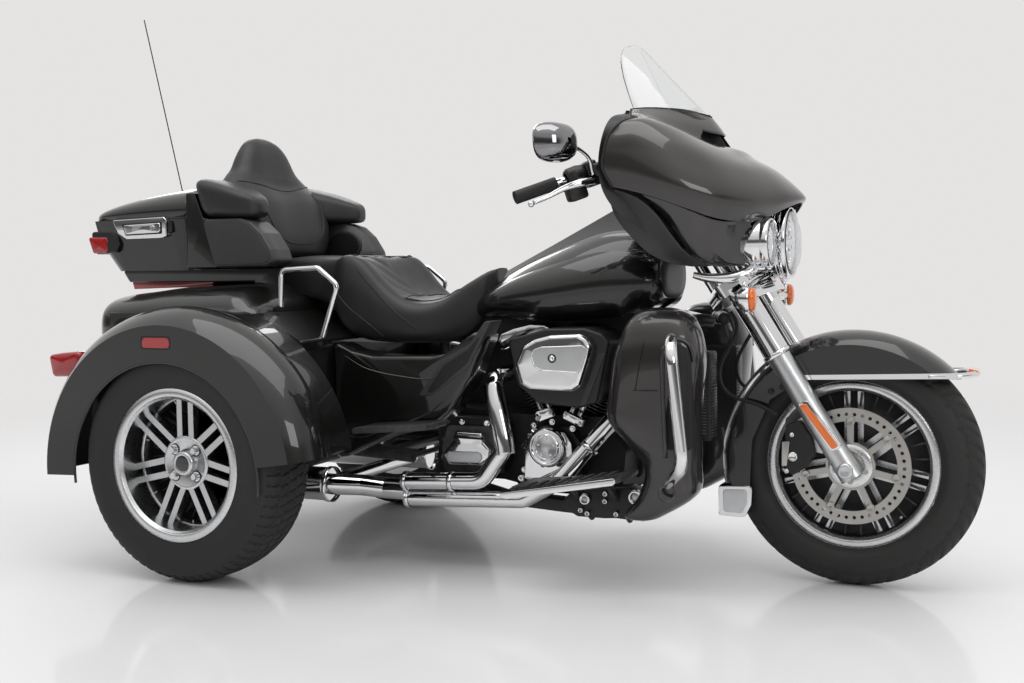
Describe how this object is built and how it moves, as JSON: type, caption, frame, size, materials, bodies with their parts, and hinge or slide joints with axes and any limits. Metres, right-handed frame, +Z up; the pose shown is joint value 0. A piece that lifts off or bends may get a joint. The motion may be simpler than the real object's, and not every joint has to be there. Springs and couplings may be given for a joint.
{
  "type": "motorized trike",
  "caption": "Touring motorcycle with one steered front wheel, a two-wheel rear axle, fork-mounted fairing, hinged top box and rear trunk.",
  "frame": {"origin": "on the ground under the middle of the overall length and width", "axes": "+X forward, +Y to the vehicle's left, +Z up"},
  "size_m": [2.8468, 1.39, 1.7454],
  "materials": {
    "paint": "dark metallic gloss",
    "chrome": "polished",
    "machined": "machined",
    "aluminium": "satin",
    "steel": "brushed",
    "black_metal": "satin black",
    "plastic": "matte",
    "leather": "stitched",
    "rubber": "matte",
    "tyre": "matte",
    "red_lens": "gloss",
    "amber_lens": "gloss",
    "screen": "clear"
  },
  "bodies": {
    "chassis": {"rear_axle": "black_metal", "frame": "black_metal", "swing_arm": "black_metal", "crankcase": "black_metal", "cylinders": "black_metal", "rocker_covers": "chrome", "case_covers": "chrome", "primary_cover": "chrome", "air_cleaner": "black_metal", "air_cleaner_cover": "chrome", "exhaust_headers": "chrome", "mufflers": "chrome", "fuel_tank": "paint", "tank_console": "chrome", "seat": "leather", "backrest": "leather", "trunk": "paint", "rear_fenders": "paint", "side_covers": "paint", "top_box": "paint", "lid_latch": "chrome", "box_mounts": "black_metal", "speaker_pods": "plastic", "rear_lamps": "red_lens", "antenna": "rubber", "saddle_rails": "chrome", "engine_guard": "chrome", "lower_fairings": "paint", "radiators": "plastic", "footboards": "black_metal"},
    "steering": {"fork_tubes": "chrome", "fork_sliders": "aluminium", "front_axle": "steel", "front_calipers": "black_metal", "front_fender": "paint", "fender_trim": "chrome", "headlamp": "chrome", "passing_lamps": "chrome", "lamp_bar": "chrome", "turn_signals": "amber_lens", "fairing": "paint", "dash": "plastic", "windshield": "screen", "handlebar": "chrome", "handgrips": "rubber", "hand_controls": "black_metal", "mirrors": "chrome"},
    "front_wheel": {"front_tyre": "tyre", "front_rim": "machined", "front_discs": "steel"},
    "rear_wheel_left": {"rear_tyre_left": "tyre", "rear_rim_left": "machined"},
    "rear_wheel_right": {"rear_tyre_right": "tyre", "rear_rim_right": "machined"},
    "top_box_lid": {"top_box_lid": "paint"},
    "trunk_door": {"trunk_door": "paint"}
  },
  "joints": [
    {"name": "steering_turn", "type": "hinge", "parent": "chassis", "child": "steering", "pos_m": [1.03405, 0, 0.27761], "axis": [-0.521, 0, 0.8536], "range_deg": [-24, 24]},
    {"name": "front_wheel_spin", "type": "hinge", "parent": "steering", "child": "front_wheel", "pos_m": [1.1035, 0, 0.32], "axis": [0, 1, 0], "continuous": true},
    {"name": "rear_wheel_left_spin", "type": "hinge", "parent": "chassis", "child": "rear_wheel_left", "pos_m": [-0.5665, 0.583, 0.3235], "axis": [0, 1, 0], "continuous": true},
    {"name": "rear_wheel_right_spin", "type": "hinge", "parent": "chassis", "child": "rear_wheel_right", "pos_m": [-0.5665, -0.583, 0.3235], "axis": [0, 1, 0], "continuous": true},
    {"name": "top_box_lid_hinge", "type": "hinge", "parent": "chassis", "child": "top_box_lid", "pos_m": [-1.0065, 0.324, 1.002], "axis": [-1, 0, 0], "range_deg": [0, 80]},
    {"name": "trunk_door_hinge", "type": "hinge", "parent": "chassis", "child": "trunk_door", "pos_m": [-1.0745, 0, 0.458], "axis": [0, -1, 0], "range_deg": [0, 90]}
  ]
}
